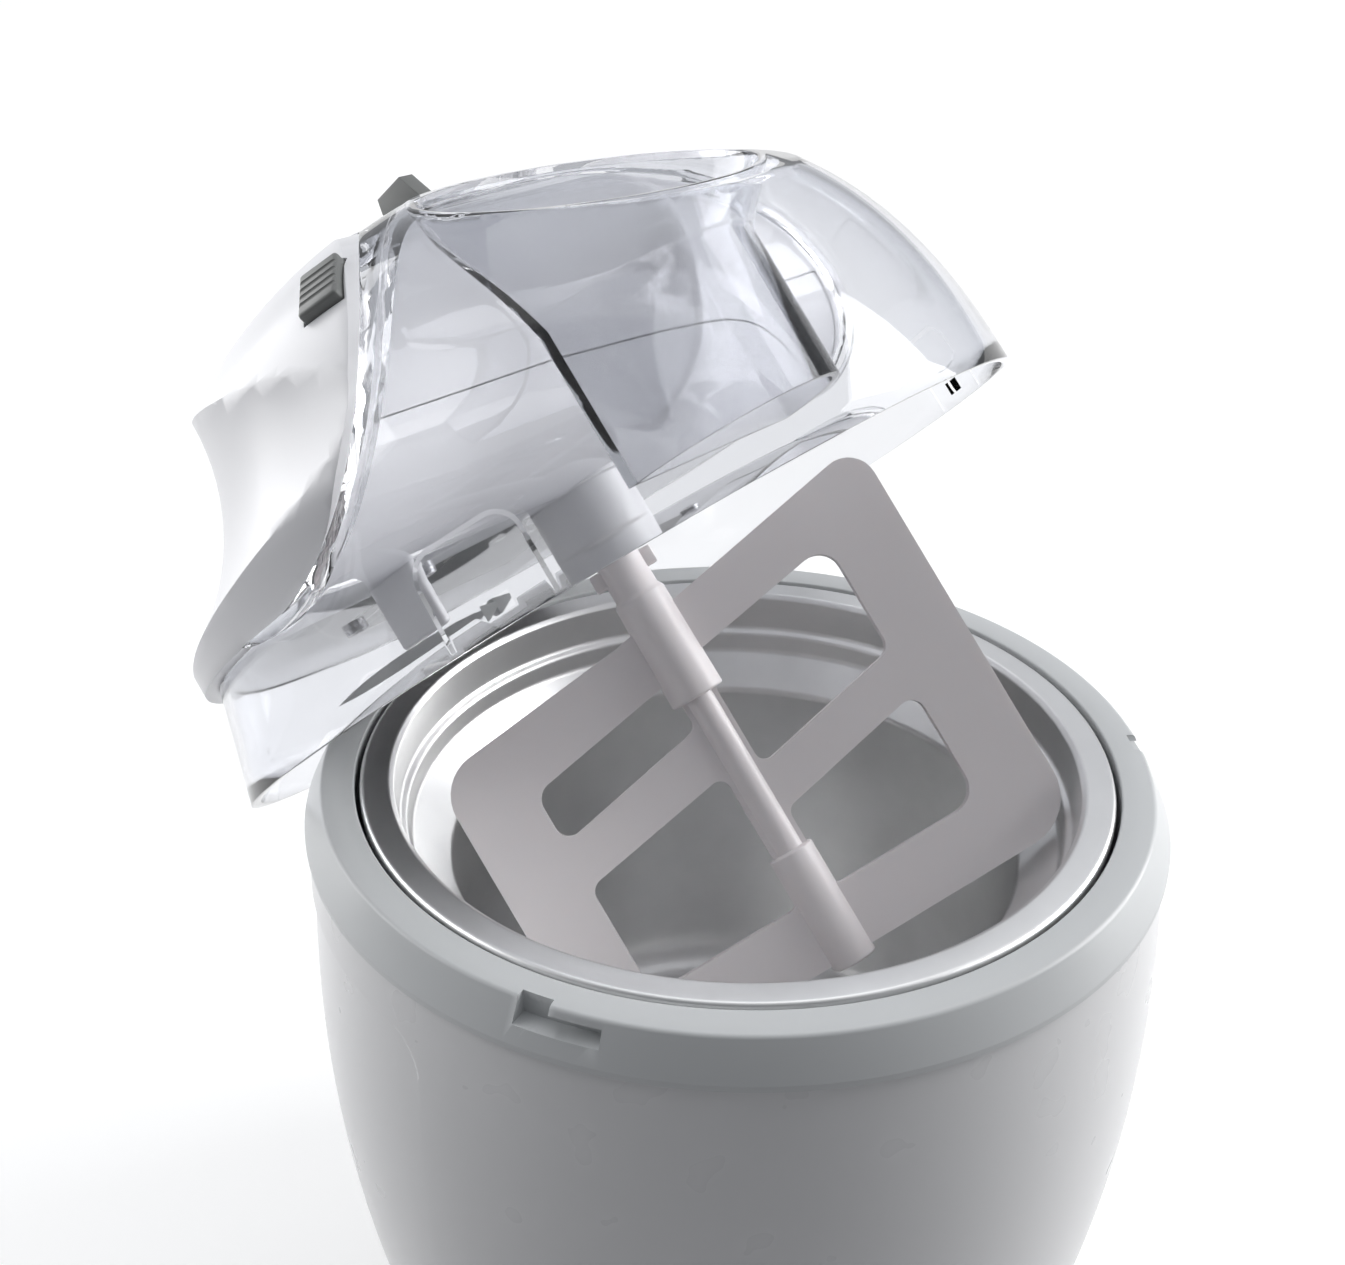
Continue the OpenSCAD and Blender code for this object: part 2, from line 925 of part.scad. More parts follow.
// Round flange with a tapered grip that points to the setting
module switch_knob() {
    color([0.35, 0.36, 0.38])
    on_head()
        translate([0, knob_y, 0]) {
            translate([0, 0, knob_z - 4.3])
                cylinder(r = stem_r, h = 5);
            translate([0, 0, knob_z])
                cylinder(r = 8.5, h = 2.2);
            intersection() {
                translate([0, 3, knob_z])
                    rotate([90, 0, 90])
                        linear_extrude(height = 5, center = true)
                            polygon([[-11.5, 2], [5.5, 2], [3, 10.5], [-8, 10.5]]);
                translate([0, 0, knob_z])
                    cylinder(r = 8.5, h = 13);
            }
        }
}

module release_button(side) {
    color([0.35, 0.36, 0.38])
    on_head()
        button_place(side)
            difference() {
                translate([button_proud, 0, 0])
                    button_block(button_back + button_proud, 0);
                translate([-button_back - 1, 0, 0])
                    rotate([0, 90, 0])
                        cylinder(r = 3.6, h = button_back - 1.8);
            }
}

spring_r = 2.6;
spring_wire = 0.5;
spring_turns = 9;

// Short coil behind a button, closed up turn on turn
module button_spring(side) {
    color([0.7, 0.7, 0.72])
    on_head()
        button_place(side)
            translate([-13.4, 0, 0])
                rotate([0, 90, 0])
                    for (i = [0:spring_turns - 1])
                        translate([0, 0, i * 0.95])
                            rotate_extrude($fn = 48)
                                translate([spring_r, 0])
                                    circle(r = spring_wire, $fn = 16);
}

/* ---- paddle ---- */

// Points of a round corner at b between a and c
function corner(a, b, c, r, n = 5) =
    let (u = (a - b) / norm(a - b), v = (c - b) / norm(c - b),
         half = acos(u * v) / 2,
         m = b + (u + v) / norm(u + v) * r / sin(half),
         p = b + u * r / tan(half), q = b + v * r / tan(half),
         a0 = atan2(p[1] - m[1], p[0] - m[0]),
         a1 = atan2(q[1] - m[1], q[0] - m[0]),
         sweep = (a1 - a0 + 540) % 360 - 180)
    [for (i = [0:n]) m + r * [cos(a0 + sweep * i / n), sin(a0 + sweep * i / n)]];

// Polygon through [x, z, corner radius] points
function rounded(p) =
    [for (i = [0:len(p) - 1])
     let (a = p[(i + len(p) - 1) % len(p)], b = p[i], c = p[(i + 1) % len(p)])
     each corner([a[0], a[1]], [b[0], b[1]], [c[0], c[1]], b[2])];

bar = paddle_w - arm_w;
low_z = -paddle_low + 17.5;
hub_top = -3;

// Blade with two stepped windows on each side of the hub, in the X-Z plane
module blade() {
    rotate([90, 0, 0])
        linear_extrude(height = blade_t, center = true)
            difference() {
                polygon(rounded([[-paddle_w, -17.5, 12], [-12, -11.5, 3], [12, -7, 3],
                                 [paddle_w, 3.5, 8], [paddle_w, -paddle_low, 14],
                                 [-paddle_w, -paddle_low, 14]]));
                polygon(rounded([[5, -23, 3], [bar, -15.5, 6], [bar, -48, 4], [5, -57, 3]]));
                polygon(rounded([[5, -70, 3], [bar, -61, 4], [bar, low_z, 7], [5, low_z, 3]]));
                polygon(rounded([[-5, -26, 3], [-5, -40, 3], [-bar, -48.5, 4], [-bar, -33.5, 5]]));
                polygon(rounded([[-5, -54, 3], [-5, low_z, 3], [-bar, low_z, 7], [-bar, -61.5, 4]]));
            }
}

module paddle() {
    color([0.95, 0.94, 0.94])
    on_head()
        rotate([0, 0, paddle_turn])
            difference() {
                union() {
                    blade();
                    translate([0, 0, -33])
                        cylinder(r = 7.5, h = hub_top + 33);
                    translate([0, 0, -81])
                        cylinder(r = 4.2, h = 49);
                    translate([0, 0, -113])
                        cylinder(r = 6.3, h = 33);
                    translate([0, 0, hub_top - 1])
                        cylinder(r = 6.2, h = 12.5 - hub_top + 1);
                    for (s = [0, 180])
                        rotate([0, 0, s])
                            translate([5, -2, 3])
                                cube([4, 4, 5]);
                }
                rotate([0, 0, -paddle_turn])
                    translate([-socket_w / 2, -socket_w / 2, -2.3])
                        cube([socket_w, socket_w, 20]);
            }
}

housing();
collar_ring();
inner_tub();
base_cover();
rubber_feet();
base_screws();
bowl_liner();
bowl_shell();
coolant_gel();
bowl_seal();
lid_shell();
motor_top_cover();
motor_base_cover();
cover_screws();
gearbox_floor();
gearbox_plate();
gearbox_screws();
gear_pins();
output_bush();
spindle_seal();
motor_can();
motor_magnets();
motor_end_cap();
motor_bushes();
switch_body();
rectifier_board();
cord_grommet();
motor_rotor();
motor_pinion();
first_gear();
second_gear();
output_gear();
drive_spindle();
paddle();
switch_knob();
release_button(1);  // release_button_left
release_button(0);  // release_button_right
button_spring(1);  // button_spring_left
button_spring(0);  // button_spring_right
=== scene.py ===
"""Looks of an ice cream maker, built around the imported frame: metres, +Z up, front towards -Y."""

import json
import math

import bmesh
import bpy
from mathutils import Matrix, Vector


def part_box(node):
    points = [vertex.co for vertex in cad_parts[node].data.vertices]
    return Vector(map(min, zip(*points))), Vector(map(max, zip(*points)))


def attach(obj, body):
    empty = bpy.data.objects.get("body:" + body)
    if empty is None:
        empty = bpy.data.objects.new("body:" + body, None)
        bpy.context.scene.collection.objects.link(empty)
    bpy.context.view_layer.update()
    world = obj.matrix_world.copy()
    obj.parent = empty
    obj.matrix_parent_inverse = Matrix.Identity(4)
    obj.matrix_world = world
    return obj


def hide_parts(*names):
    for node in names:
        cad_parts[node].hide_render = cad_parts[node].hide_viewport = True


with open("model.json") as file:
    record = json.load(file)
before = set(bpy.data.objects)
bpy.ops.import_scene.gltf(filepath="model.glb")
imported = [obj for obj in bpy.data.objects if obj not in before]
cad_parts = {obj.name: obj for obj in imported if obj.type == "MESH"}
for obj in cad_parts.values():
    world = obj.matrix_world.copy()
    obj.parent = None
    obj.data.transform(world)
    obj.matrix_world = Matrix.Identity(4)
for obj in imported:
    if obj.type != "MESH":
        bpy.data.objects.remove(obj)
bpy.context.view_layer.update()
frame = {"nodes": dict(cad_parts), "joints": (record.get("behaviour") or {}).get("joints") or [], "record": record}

MM = 0.001
JOINTS = {j["name"]: j for j in frame["joints"]}

# ---- places, from the frame, and the lid's own turn about its axis in degrees ----

RIM_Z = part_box("collar_ring")[1].z / MM
HEAD_AT = Vector(JOINTS["paddle_turn"]["pos_m"])
HEAD_UP = -Vector(JOINTS["paddle_turn"]["axis"]).normalized()
LID_TURN = -84.5
LEAN = math.acos(HEAD_UP.z)
LEAN_DIR = math.atan2(HEAD_UP.y, HEAD_UP.x)


def turn(axis, degrees):
    """Rotation about an axis through the origin."""
    return Matrix.Rotation(math.radians(degrees), 4, axis)


def shift(x, y, z):
    """Move along the three axes, in the units of the place that it is used in."""
    return Matrix.Translation((x, y, z))


SCALE = Matrix.Scale(MM, 4)
ON_RIM = SCALE @ shift(0, 0, RIM_Z)
HEAD = (Matrix.Translation(HEAD_AT) @ Matrix.Rotation(LEAN_DIR, 4, "Z")
        @ Matrix.Rotation(LEAN, 4, "Y") @ turn("Z", LID_TURN) @ SCALE)


# ---- camera ----

CAMERA_AT = Vector((-0.2437, -0.3244, 0.4521))
CAMERA_TO = Vector((-0.0141, 0.0097, 0.2219))
CAMERA_ROLL = 0.011
CAMERA_LENS = 49.5
CAMERA_SENSOR = 36


def add_camera():
    """Camera at the photograph's viewing angle."""
    forward = (CAMERA_TO - CAMERA_AT).normalized()
    right = forward.cross(Vector((0, 0, 1))).normalized()
    up = right.cross(forward)
    c, s = math.cos(CAMERA_ROLL), math.sin(CAMERA_ROLL)
    right, up = c * right + s * up, c * up - s * right
    data = bpy.data.cameras.new("camera")
    data.lens = CAMERA_LENS
    data.sensor_width = CAMERA_SENSOR
    data.clip_start = 0.01
    data.clip_end = 50
    camera = bpy.data.objects.new("camera", data)
    bpy.context.scene.collection.objects.link(camera)
    camera.matrix_world = Matrix.Translation(CAMERA_AT) @ Matrix(
        ((right.x, up.x, -forward.x), (right.y, up.y, -forward.y), (right.z, up.z, -forward.z))
    ).to_4x4()
    bpy.context.scene.camera = camera


add_camera()


# ---- materials ----

MIX_DARK, MIX_LIGHT, MIX_RESULT = 6, 7, 2      # colour sockets of the Mix node
FLOW_SCALE, GLOSS_SCALE = 14, 60               # noise cells in a metre
GRAIN_DEPTH = 0.0001


class Shader:
    """A new material's node tree, with short calls to add and join nodes."""

    def __init__(self, name):
        self.material = bpy.data.materials.new(name)
        self.material.use_nodes = True
        self.tree = self.material.node_tree
        self.bsdf = self.tree.nodes["Principled BSDF"]
        self.place = self.node("ShaderNodeTexCoord").outputs["Object"]

    def node(self, kind, **settings):
        made = self.tree.nodes.new(kind)
        for key, value in settings.items():
            setattr(made, key, value)
        return made

    def join(self, source, target):
        self.tree.links.new(source, target)

    def noise(self, scale, detail=3.0, vector=None, rough=0.5):
        made = self.node("ShaderNodeTexNoise")
        made.inputs["Scale"].default_value = scale
        made.inputs["Detail"].default_value = detail
        made.inputs["Roughness"].default_value = rough
        self.join(vector or self.place, made.inputs["Vector"])
        return made.outputs["Fac"]

    def spread(self, value, low, high, start=0.3, end=0.7):
        made = self.node("ShaderNodeMapRange")
        self.join(value, made.inputs["Value"])
        for key, number in (("From Min", start), ("From Max", end), ("To Min", low), ("To Max", high)):
            made.inputs[key].default_value = number
        return made.outputs["Result"]

    def math(self, operation, a, b):
        made = self.node("ShaderNodeMath", operation=operation)
        for socket, value in zip(made.inputs, (a, b)):
            if isinstance(value, (int, float)):
                socket.default_value = value
            else:
                self.join(value, socket)
        return made.outputs[0]

    def tint(self, value, dark, light):
        made = self.node("ShaderNodeMix", data_type="RGBA")
        self.join(value, made.inputs["Factor"])
        made.inputs[MIX_DARK].default_value = (*dark, 1)
        made.inputs[MIX_LIGHT].default_value = (*light, 1)
        self.join(made.outputs[MIX_RESULT], self.bsdf.inputs["Base Color"])

    def bump(self, height, strength, distance):
        made = self.node("ShaderNodeBump")
        made.inputs["Strength"].default_value = strength
        made.inputs["Distance"].default_value = distance
        self.join(height, made.inputs["Height"])
        self.join(made.outputs["Normal"], self.bsdf.inputs["Normal"])

    def roughness(self, value):
        self.join(value, self.bsdf.inputs["Roughness"])

    def set(self, **values):
        for key, value in values.items():
            self.bsdf.inputs[key.replace("_", " ")].default_value = value


def shade(color, factor):
    """A colour made darker or lighter."""
    return tuple(min(1.0, c * factor) for c in color)


def moulded(name, color, rough, grain=0.05, coat=0.0, grain_mm=0.5, soft=0.0, patchy=0.035):
    """Moulded plastic: broad tint, uneven gloss, and a relief of grain_mm across on its surface."""
    s = Shader(name)
    s.tint(s.spread(s.noise(FLOW_SCALE, 2), 0, 1), shade(color, 0.975), shade(color, 1.01))
    s.roughness(s.spread(s.noise(GLOSS_SCALE, 2), rough - patchy, rough + patchy))
    s.bump(s.noise(1 / (grain_mm * MM), 2), grain, GRAIN_DEPTH)
    s.set(Coat_Weight=coat, Coat_Roughness=0.12, Subsurface_Weight=soft, Subsurface_Scale=0.002)
    s.bsdf.inputs["Subsurface Radius"].default_value = (1.0, 0.85, 0.75)
    return s.material


def spun_metal(name, color, rough, lines=0.12):
    """Spun or turned metal: fine rings round the vertical axis and faint cloudy stains."""
    s = Shader(name)
    parts = s.node("ShaderNodeSeparateXYZ")
    s.join(s.place, parts.inputs[0])
    x, y, z = parts.outputs
    radius = s.math("SQRT", s.math("ADD", s.math("MULTIPLY", x, x), s.math("MULTIPLY", y, y)), 0)
    joined = s.node("ShaderNodeCombineXYZ")
    s.join(radius, joined.inputs[0])
    s.join(z, joined.inputs[2])
    rings = s.noise(2600, 4, joined.outputs[0], 0.7)
    s.tint(s.spread(s.noise(30, 4), 0, 1), shade(color, 0.93), shade(color, 1.04))
    s.roughness(s.spread(rings, rough - 0.05, rough + 0.07))
    s.bump(rings, lines, 0.00006)
    s.set(Metallic=1.0)
    return s.material


def plain_metal(name, color, rough):
    """Metal with a fine, even finish."""
    s = Shader(name)
    s.tint(s.spread(s.noise(300, 4), 0, 1), shade(color, 0.9), shade(color, 1.05))
    s.roughness(s.spread(s.noise(700, 3), rough - 0.06, rough + 0.08))
    s.bump(s.noise(2500, 2), 0.08, 0.00004)
    s.set(Metallic=1.0)
    return s.material


SHADOW_PASS = 0.88                             # light that a clear surface lets through to what it shades
EDGE_BLEND, EDGE_POWER, CLEAR_IOR = 0.35, 2.2, 1.33


def clear_plastic(name, face, edge):
    """Clear moulded plastic: faint tint that deepens to blue where the surface turns away."""
    s = Shader(name)
    facing = s.node("ShaderNodeLayerWeight")
    facing.inputs["Blend"].default_value = EDGE_BLEND
    turned = s.math("POWER", facing.outputs["Facing"], EDGE_POWER)
    s.tint(s.math("MULTIPLY", turned, s.spread(s.noise(9, 2), 0.8, 1.0)), face, edge)
    s.roughness(s.spread(s.noise(GLOSS_SCALE, 2), 0.015, 0.05))
    s.bump(s.noise(26, 1), 0.05, 0.0006)
    s.set(Transmission_Weight=1.0, IOR=CLEAR_IOR, Specular_IOR_Level=0.5)
    thin = s.node("ShaderNodeBsdfTransparent")
    mix = s.node("ShaderNodeMixShader")
    shadow = s.node("ShaderNodeLightPath").outputs["Is Shadow Ray"]
    s.join(s.math("MULTIPLY", shadow, SHADOW_PASS), mix.inputs[0])
    s.join(s.bsdf.outputs[0], mix.inputs[1])
    s.join(thin.outputs[0], mix.inputs[2])
    s.join(mix.outputs[0], s.tree.nodes["Material Output"].inputs["Surface"])
    return s.material


WHITE = moulded("white_shell", (0.74, 0.74, 0.745), 0.28, grain=0.02, coat=0.2, grain_mm=6.0,
                patchy=0.008)
UNIT_WHITE = moulded("unit_white", (0.80, 0.80, 0.82), 0.36, grain=0.01, coat=0.1, grain_mm=0.6,
                     patchy=0.012)
COLLAR = moulded("collar_grey", (0.60, 0.615, 0.62), 0.36, grain=0.03, coat=0.1, patchy=0.015)
PADDLE = moulded("paddle_plastic", (0.84, 0.80, 0.81), 0.36, grain=0.04, soft=0.1)
DARK_GREY = moulded("dark_grey", (0.17, 0.175, 0.17), 0.45, grain=0.10, grain_mm=0.35)
BLACK = moulded("black_plastic", (0.03, 0.03, 0.032), 0.5, grain=0.10)
RUBBER = moulded("rubber", (0.025, 0.025, 0.025), 0.75, grain=0.2, grain_mm=0.3)
NATURAL = moulded("natural_acetal", (0.80, 0.77, 0.70), 0.4, grain_mm=0.6, soft=0.15)
GEL = moulded("coolant", (0.35, 0.55, 0.70), 0.3, grain=0.02)
BOARD = moulded("board_green", (0.05, 0.18, 0.07), 0.4, grain=0.08)
ALUMINIUM = spun_metal("bowl_aluminium", (0.86, 0.86, 0.86), 0.36, lines=0.05)
STEEL = plain_metal("plated_steel", (0.62, 0.62, 0.64), 0.3)
BRONZE = plain_metal("bronze", (0.60, 0.42, 0.22), 0.35)
COPPER = plain_metal("copper", (0.75, 0.38, 0.22), 0.35)
FERRITE = plain_metal("ferrite", (0.06, 0.06, 0.065), 0.6)
CLEAR = clear_plastic("clear_plastic", (0.87, 0.875, 0.89), (0.70, 0.73, 0.83))

SLOT_LOOKS = {
    "white_shell": WHITE, "grey_collar": COLLAR, "inner_plastic": UNIT_WHITE, "rubber": RUBBER,
    "steel": STEEL, "bowl_metal": ALUMINIUM, "gel": GEL, "clear_plastic": CLEAR,
    "dark_plastic": BLACK, "bronze": BRONZE, "magnet": FERRITE, "board": BOARD, "copper": COPPER,
    "gear_plastic": NATURAL, "paddle_plastic": PADDLE, "grey_plastic": DARK_GREY,
}
NODE_LOOKS = {"motor_top_cover": UNIT_WHITE, "motor_base_cover": UNIT_WHITE}


def dress_nodes():
    """Gives every CAD node the look of its material slot."""
    for part in frame["record"]["subparts"]:
        node = frame["nodes"][part["node"]]
        look = NODE_LOOKS.get(part["node"], SLOT_LOOKS[part["material_slot"]])
        node.data.materials.clear()
        node.data.materials.append(look)


dress_nodes()


# ---- geometry helpers: points in millimetres, placed by a matrix ----

def smooth(edge0, edge1, x):
    """Eases from 0 to 1 as x goes from edge0 to edge1."""
    t = min(1.0, max(0.0, (x - edge0) / (edge1 - edge0)))
    return t * t * (3 - 2 * t)


def fillet(points, steps=5):
    """Closed or open outline with round corners, from (x, y, radius) points."""
    rounded = []
    count = len(points)
    for i, (x, y, radius) in enumerate(points):
        b = Vector((x, y))
        if radius <= 0:
            rounded.append((x, y))
            continue
        a = Vector(points[i - 1][:2])
        c = Vector(points[(i + 1) % count][:2])
        u, v = (a - b).normalized(), (c - b).normalized()
        half = u.angle(v) / 2
        middle = b + (u + v).normalized() * radius / math.sin(half)
        start = b + u * radius / math.tan(half) - middle
        end = b + v * radius / math.tan(half) - middle
        sweep = start.angle_signed(end)
        for k in range(steps + 1):
            p = start.copy()
            p.rotate(Matrix.Rotation(-sweep * k / steps, 2))
            rounded.append(tuple(middle + p))
    return rounded


def new_object(name, verts, faces, place):
    """Object with outward normals, its points carried into the row frame."""
    mesh = bpy.data.meshes.new(name)
    mesh.from_pydata([place @ Vector(v) for v in verts], [], faces)
    bm = bmesh.new()
    bm.from_mesh(mesh)
    bmesh.ops.recalc_face_normals(bm, faces=bm.faces)
    bm.to_mesh(mesh)
    bm.free()
    made = bpy.data.objects.new(name, mesh)
    bpy.context.scene.collection.objects.link(made)
    return made


def grid_faces(rows, columns, wrap_rows=False):
    """Quads between closed rings of points, one ring after the other."""
    faces = []
    for i in range(rows if wrap_rows else rows - 1):
        for k in range(columns):
            a, b = i * columns, (i + 1) % rows * columns
            j = (k + 1) % columns
            faces.append((a + k, a + j, b + j, b + k))
    return faces


def revolve(name, profile, place, steps=160, warp=None):
    """Solid of revolution about Z from a closed list of (radius, height)."""
    verts, rows, faces = [], [], []
    for r, z in profile:
        if r < 1e-6:
            rows.append([len(verts)] * steps)
            verts.append((0, 0, z))
            continue
        rows.append([len(verts) + k for k in range(steps)])
        for k in range(steps):
            a = 2 * math.pi * k / steps
            p = (r * math.cos(a), r * math.sin(a), z)
            verts.append(warp(*p) if warp else p)
    for a, b in zip(rows, rows[1:] + rows[:1]):
        for k in range(steps):
            j = (k + 1) % steps
            face = list(dict.fromkeys((a[k], a[j], b[j], b[k])))
            if len(face) > 2:
                faces.append(face)
    return new_object(name, verts, faces, place)


def block(name, low, high, place):
    """Box between two corners."""
    (x0, y0, z0), (x1, y1, z1) = low, high
    verts = [(x, y, z) for x in (x0, x1) for y in (y0, y1) for z in (z0, z1)]
    faces = [(0, 1, 3, 2), (4, 6, 7, 5), (0, 4, 5, 1), (2, 3, 7, 6), (0, 2, 6, 4), (1, 5, 7, 3)]
    return new_object(name, verts, faces, place)


def rod(name, radius, length, place, steps=96):
    """Solid cylinder up from the place's origin."""
    return revolve(name, [(0, 0), (radius, 0), (radius, length), (0, length)], place, steps)


def prism(name, outline, low, high, place):
    """Solid between two heights with one outline."""
    count = len(outline)
    verts = [(x, y, z) for z in (low, high) for x, y in outline]
    faces = [(k, (k + 1) % count, count + (k + 1) % count, count + k) for k in range(count)]
    faces += [tuple(range(count)), tuple(range(2 * count - 1, count - 1, -1))]
    return new_object(name, verts, faces, place)


def settle(obj):
    """Applies an object's modifiers to its mesh."""
    graph = bpy.context.evaluated_depsgraph_get()
    mesh = bpy.data.meshes.new_from_object(obj.evaluated_get(graph))
    obj.modifiers.clear()
    old, obj.data = obj.data, mesh
    bpy.data.meshes.remove(old)
    return obj


def combine(target, operation, tool):
    """Exact boolean of two closed objects. The tool is used up."""
    change = target.modifiers.new("combine", "BOOLEAN")
    change.operation = operation
    change.solver = "EXACT"
    change.object = tool
    settle(target)
    bpy.data.objects.remove(tool)
    return target


def soften(obj, width, angle=50, segments=2):
    """Small round on every edge sharper than the angle."""
    change = obj.modifiers.new("soften", "BEVEL")
    change.width = width * MM
    change.segments = segments
    change.limit_method = "ANGLE"
    change.angle_limit = math.radians(angle)
    change.harden_normals = False
    change.use_clamp_overlap = True
    return settle(obj)


def clean(obj, distance=0.01):
    """Joins points closer than the distance and turns the faces outwards."""
    bm = bmesh.new()
    bm.from_mesh(obj.data)
    bmesh.ops.remove_doubles(bm, verts=bm.verts, dist=distance * MM)
    bmesh.ops.dissolve_degenerate(bm, edges=bm.edges, dist=distance * MM)
    bmesh.ops.recalc_face_normals(bm, faces=bm.faces)
    bm.to_mesh(obj.data)
    bm.free()
    return obj


def show(obj, material, body, *nodes, angle=32, slot=None):
    """Finishes a piece: its look, smooth shading, body, and the CAD nodes that it stands for."""
    obj.data.materials.clear()
    obj.data.materials.append(material)
    obj.data.shade_smooth()
    obj.data.set_sharp_from_angle(angle=math.radians(angle))
    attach(obj, body)
    if nodes:
        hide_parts(*nodes)
    return obj


# ---- base: housing, collar and bowl ----

BELLY_R, BELLY_Z, SIDE_ARC_R = 113.4, 125.0, 413.0
HOUSING_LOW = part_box("housing")[0].z / MM
HOUSING_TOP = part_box("housing")[1].z / MM
WALL = 3.0
PANEL_TOP = RIM_Z - 25.4
PANEL_MID, PANEL_HALF, PANEL_DEPTH, PANEL_CORNER = 105.0, 28.5, 1.2, 11.0
PANEL_EDGE = 1.1
LEDGE_LOW, LEDGE_TOP, LEDGE_R, OPENING_R = 11, 13, 88.0, 91.6
FOOT_ROUND, FOOT_ROUND_H = 1.2, 1.5


def side_r(z):
    """Radius of the bulging side at a height."""
    return BELLY_R - SIDE_ARC_R + math.sqrt(SIDE_ARC_R ** 2 - (z - BELLY_Z) ** 2)


def panel_depth(azimuth, z):
    """Depth of the pressed panels at an azimuth, in degrees from the front, and a height."""
    beside = (abs(abs(azimuth) - PANEL_MID) - PANEL_HALF) * math.radians(1) * BELLY_R
    up = z - PANEL_TOP
    corner = PANEL_CORNER
    outside = math.hypot(max(beside + corner, 0), max(up + corner, 0))
    inside = min(max(beside + corner, up + corner), 0)
    return PANEL_DEPTH * (1 - smooth(-PANEL_EDGE / 2, PANEL_EDGE / 2, outside + inside - corner))


def fine_steps(low, high, coarse, fine, centres, reach):
    """Rising values, closer together near each centre."""
    values, x = [low], low
    while x < high - 1e-9:
        near = min(abs(x - c) for c in centres)
        x = min(high, x + (fine if near < reach else coarse))
        values.append(x)
    return values


def housing():
    """Closed shell: up the outside, down the inside and round the ledge over the base cover."""
    edges = [s * (PANEL_MID + e * PANEL_HALF) for s in (-1, 1) for e in (-1, 1)]
    azimuths = fine_steps(-180, 180, 2.0, 0.25, edges, 6.5)[:-1]
    heights = fine_steps(HOUSING_LOW, HOUSING_TOP, 4.0, 0.5, [PANEL_TOP - 5, 10], 7)

    def outside(azimuth, z):
        foot = FOOT_ROUND * (1 - smooth(0, FOOT_ROUND_H, z - HOUSING_LOW))
        return side_r(z) - panel_depth(azimuth, z) - foot

    rings = [(HOUSING_LOW, lambda azimuth, z: side_r(z) - FOOT_ROUND)]
    rings += [(z, outside) for z in heights[1:]]
    for z in (HOUSING_TOP, HOUSING_TOP - 40, 60, LEDGE_TOP):
        rings.append((z, lambda azimuth, z: side_r(z) - WALL))
    for z, r in ((LEDGE_TOP, LEDGE_R), (LEDGE_LOW, LEDGE_R),
                 (LEDGE_LOW, OPENING_R), (HOUSING_LOW, OPENING_R)):
        rings.append((z, lambda azimuth, z, r=r: r))
    verts = []
    for z, radius in rings:
        for azimuth in azimuths:
            r = radius(azimuth, z)
            a = math.radians(azimuth - 90)
            verts.append((r * math.cos(a), r * math.sin(a), z))
    shell = new_object("housing_shell", verts, grid_faces(len(rings), len(azimuths), True), SCALE)
    return show(clean(shell), WHITE, "body", "housing", slot="white_shell", angle=40)


COLLAR_TOP_R, COLLAR_LOW_R, COLLAR_IN_R = 107.5, 112.3, 99.0
SLOT_ANGLES = (-60, 60, 180)
SLOT_ENTRY, SLOT_RUN, SLOT_LOW, SLOT_HIGH = 8, 20.5, -6, -2


def sector(name, r_in, r_out, z0, z1, start, span, place, steps=24):
    """Solid sector of a ring between two radii and heights, its angles from the front."""
    verts = []
    for i in range(steps + 1):
        a = math.radians(start + span * i / steps - 90)
        for r, z in ((r_in, z0), (r_out, z0), (r_out, z1), (r_in, z1)):
            verts.append((r * math.cos(a), r * math.sin(a), z))
    faces = [(4 * i + k, 4 * i + (k + 1) % 4, 4 * i + 4 + (k + 1) % 4, 4 * i + 4 + k)
             for i in range(steps) for k in range(4)]
    faces += [(3, 2, 1, 0), tuple(4 * steps + k for k in range(4))]
    return new_object(name, verts, faces, place)


def collar():
    """Collar ring with the notch and level channel of each bayonet slot."""
    inner_lip = side_r(HOUSING_TOP) - WALL
    profile = fillet([(COLLAR_IN_R, 0, 0.5), (COLLAR_TOP_R, 0, 1.4), (COLLAR_LOW_R, -9.9, 0.8),
                      (COLLAR_LOW_R, -11.7, 0.3), (inner_lip - 0.3, -11.7, 0), (inner_lip - 0.3, -20, 0),
                      (inner_lip - 2.3, -20, 0), (inner_lip - 2.3, -7, 0), (COLLAR_IN_R, -7, 0)])
    ring = revolve("collar", profile, ON_RIM, 240)
    per_mm = math.degrees(1 / (COLLAR_TOP_R + 1))
    for angle in SLOT_ANGLES:
        start = angle - SLOT_ENTRY / 2 * per_mm
        for span, low, high in ((SLOT_ENTRY, SLOT_LOW, 1), (SLOT_RUN, SLOT_LOW, SLOT_HIGH)):
            cut = sector("slot_cut", COLLAR_TOP_R - 2.2, COLLAR_LOW_R + 3, low, high, start,
                         span * per_mm, ON_RIM)
            combine(ring, "DIFFERENCE", cut)
    soften(ring, 0.25, 55)
    return show(ring, COLLAR, "body", "collar_ring", slot="grey_collar", angle=35)


MOUTH_R, RIM_R, CHAMBER_R, BOWL_DEPTH = 89.0, 97.8, 75.0, 127.0
LINER_T = 1.4
LEDGES = (11.0, 17.5, 24.0)


